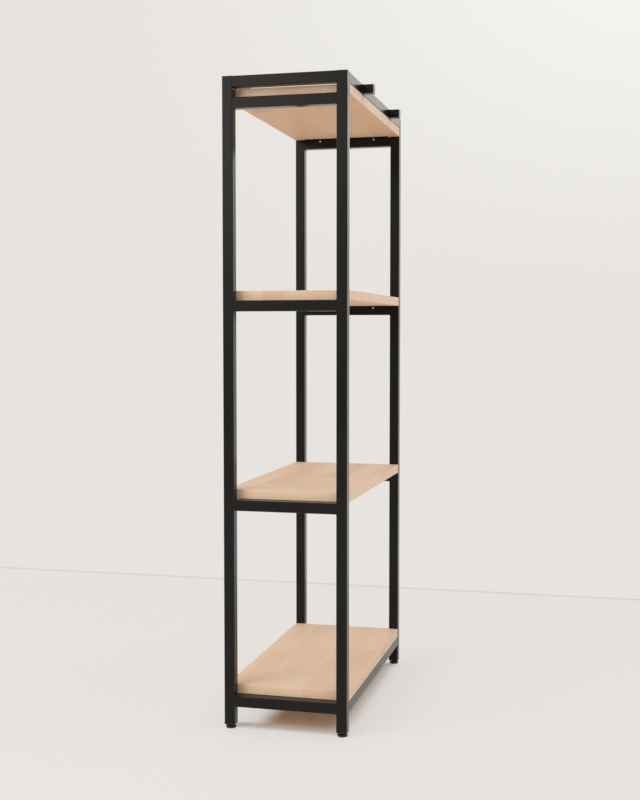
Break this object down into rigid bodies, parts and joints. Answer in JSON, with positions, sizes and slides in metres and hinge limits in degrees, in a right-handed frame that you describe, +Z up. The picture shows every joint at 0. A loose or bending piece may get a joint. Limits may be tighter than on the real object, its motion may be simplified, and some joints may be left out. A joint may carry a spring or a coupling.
{
  "type": "shelving unit",
  "caption": "Free-standing open shelving unit: black square-tube ladder frames and rails, solid pale wood shelf boards, levelling feet and wall spacers.",
  "frame": {"origin": "on the floor under the middle of the unit's box, wall spacers included", "axes": "+Z up, +X to the right seen from the room, +Y towards the wall"},
  "size_m": [0.8, 0.382, 1.8],
  "materials": {
    "black_coated_steel": "satin black powder coat",
    "pale_maple": "pale glued staves under clear matt lacquer",
    "black_nylon": "moulded black nylon",
    "zinc_plated_steel": "bright zinc plate",
    "black_zinc_steel": "black passivated zinc plate"
  },
  "bodies": {
    "frame": {"front_left_post": "black_coated_steel", "front_right_post": "black_coated_steel", "rear_left_post": "black_coated_steel", "rear_right_post": "black_coated_steel", "front_left_post_cap": "black_coated_steel", "front_right_post_cap": "black_coated_steel", "rear_left_post_cap": "black_coated_steel", "rear_right_post_cap": "black_coated_steel", "left_bottom_crossbar": "black_coated_steel", "left_lower_crossbar": "black_coated_steel", "left_upper_crossbar": "black_coated_steel", "left_top_crossbar": "black_coated_steel", "left_head_crossbar": "black_coated_steel", "right_bottom_crossbar": "black_coated_steel", "right_lower_crossbar": "black_coated_steel", "right_upper_crossbar": "black_coated_steel", "right_top_crossbar": "black_coated_steel", "right_head_crossbar": "black_coated_steel", "front_bottom_rail": "black_coated_steel", "front_head_rail": "black_coated_steel", "rear_bottom_rail": "black_coated_steel", "rear_head_rail": "black_coated_steel", "bottom_shelf_board": "pale_maple", "lower_shelf_board": "pale_maple", "upper_shelf_board": "pale_maple", "top_shelf_board": "pale_maple", "left_wall_spacer": "black_coated_steel", "left_spacer_plate": "black_coated_steel", "right_wall_spacer": "black_coated_steel", "right_spacer_plate": "black_coated_steel", "left_bottom_ledge": "black_coated_steel", "right_bottom_ledge": "black_coated_steel", "bottom_rivet_nuts": "zinc_plated_steel", "bottom_ledge_screws": "zinc_plated_steel", "left_lower_ledge": "black_coated_steel", "right_lower_ledge": "black_coated_steel", "lower_rivet_nuts": "zinc_plated_steel", "lower_ledge_screws": "zinc_plated_steel", "left_upper_ledge": "black_coated_steel", "right_upper_ledge": "black_coated_steel", "upper_rivet_nuts": "zinc_plated_steel", "upper_ledge_screws": "zinc_plated_steel", "left_top_ledge": "black_coated_steel", "right_top_ledge": "black_coated_steel", "top_rivet_nuts": "zinc_plated_steel", "top_ledge_screws": "zinc_plated_steel", "front_left_foot_insert": "black_nylon", "front_right_foot_insert": "black_nylon", "rear_left_foot_insert": "black_nylon", "rear_right_foot_insert": "black_nylon"},
    "front_left_pad": {"front_left_foot_pad": "black_nylon"},
    "front_left_stud": {"front_left_foot_stud": "black_zinc_steel"},
    "front_right_pad": {"front_right_foot_pad": "black_nylon"},
    "front_right_stud": {"front_right_foot_stud": "black_zinc_steel"},
    "rear_left_pad": {"rear_left_foot_pad": "black_nylon"},
    "rear_left_stud": {"rear_left_foot_stud": "black_zinc_steel"},
    "rear_right_pad": {"rear_right_foot_pad": "black_nylon"},
    "rear_right_stud": {"rear_right_foot_stud": "black_zinc_steel"}
  },
  "joints": [
    {"name": "front_left_foot_slide", "type": "slide", "parent": "frame", "child": "front_left_pad", "axis": [0, 0, -1], "range_m": [-0.00375, 0.012]},
    {"name": "front_left_stud_spin", "type": "hinge", "parent": "front_left_pad", "child": "front_left_stud", "pos_m": [-0.385, -0.176, 0.007], "axis": [0, 0, -1], "range_deg": [-1081, 3457]},
    {"name": "front_right_foot_slide", "type": "slide", "parent": "frame", "child": "front_right_pad", "axis": [0, 0, -1], "range_m": [-0.00375, 0.012]},
    {"name": "front_right_stud_spin", "type": "hinge", "parent": "front_right_pad", "child": "front_right_stud", "pos_m": [0.385, -0.176, 0.007], "axis": [0, 0, -1], "range_deg": [-1081, 3457]},
    {"name": "rear_left_foot_slide", "type": "slide", "parent": "frame", "child": "rear_left_pad", "axis": [0, 0, -1], "range_m": [-0.00375, 0.012]},
    {"name": "rear_left_stud_spin", "type": "hinge", "parent": "rear_left_pad", "child": "rear_left_stud", "pos_m": [-0.385, 0.144, 0.007], "axis": [0, 0, -1], "range_deg": [-1081, 3457]},
    {"name": "rear_right_foot_slide", "type": "slide", "parent": "frame", "child": "rear_right_pad", "axis": [0, 0, -1], "range_m": [-0.00375, 0.012]},
    {"name": "rear_right_stud_spin", "type": "hinge", "parent": "rear_right_pad", "child": "rear_right_stud", "pos_m": [0.385, 0.144, 0.007], "axis": [0, 0, -1], "range_deg": [-1081, 3457]}
  ],
  "couplings": [
    {"joint": "front_left_stud_spin", "follows": "front_left_foot_slide", "rad_per_m": 5026.5},
    {"joint": "front_right_stud_spin", "follows": "front_right_foot_slide", "rad_per_m": 5026.5},
    {"joint": "rear_left_stud_spin", "follows": "rear_left_foot_slide", "rad_per_m": 5026.5},
    {"joint": "rear_right_stud_spin", "follows": "rear_right_foot_slide", "rad_per_m": 5026.5}
  ]
}
